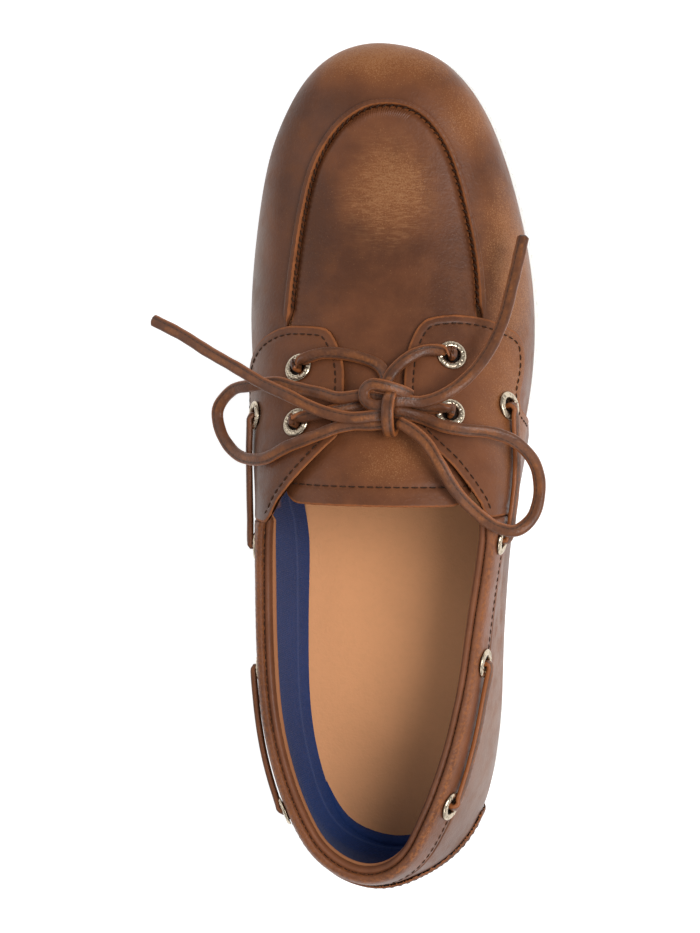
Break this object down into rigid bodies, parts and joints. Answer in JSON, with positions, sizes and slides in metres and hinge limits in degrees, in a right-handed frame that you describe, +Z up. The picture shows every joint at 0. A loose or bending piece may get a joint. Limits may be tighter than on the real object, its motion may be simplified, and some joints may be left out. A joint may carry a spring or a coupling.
{
  "type": "boat shoe",
  "caption": "Low leather boat shoe with a moccasin seam toe, rolled collar, metal eyelets and a rawhide lace tied in a bow.",
  "frame": {"origin": "centre of the plan of the shoe without its free lace, on the floor", "axes": "+Y to the toe, +X to the outer side of the right foot, +Z up; metres"},
  "size_m": [0.1411, 0.297, 0.09],
  "materials": {
    "sole": "matt off-white rubber",
    "vamp_leather": "waxed pull-up leather",
    "quarter_leather": "waxed pull-up leather",
    "collar_leather": "waxed leather, rolled",
    "footbed_leather": "natural tan leather",
    "eyelet_metal": "brushed nickel-brass",
    "lace": "oiled rawhide"
  },
  "bodies": {
    "root": {"outsole": "sole", "upper": "vamp_leather", "tongue": "vamp_leather", "insole": "footbed_leather", "quarter_outer": "quarter_leather", "quarter_inner": "quarter_leather", "collar_roll": "collar_leather", "heel_patch": "quarter_leather", "lace_crossing": "lace", "eyelet_front_outer": "eyelet_metal", "eyelet_front_inner": "eyelet_metal", "eyelet_rear_outer": "eyelet_metal", "eyelet_rear_inner": "eyelet_metal", "eyelet_side1_outer": "eyelet_metal", "eyelet_side1_inner": "eyelet_metal", "eyelet_side2_outer": "eyelet_metal", "eyelet_side2_inner": "eyelet_metal", "eyelet_side3_outer": "eyelet_metal", "eyelet_side3_inner": "eyelet_metal", "eyelet_side4_outer": "eyelet_metal", "eyelet_side4_inner": "eyelet_metal", "lace_side_front_outer": "lace", "lace_side_front_inner": "lace", "lace_side_rear_outer": "lace", "lace_side_rear_inner": "lace", "lace_knot": "lace", "lace_loop_inner": "lace", "lace_loop_outer": "lace", "lace_end_inner": "lace", "lace_end_outer": "lace"}
  },
  "joints": []
}
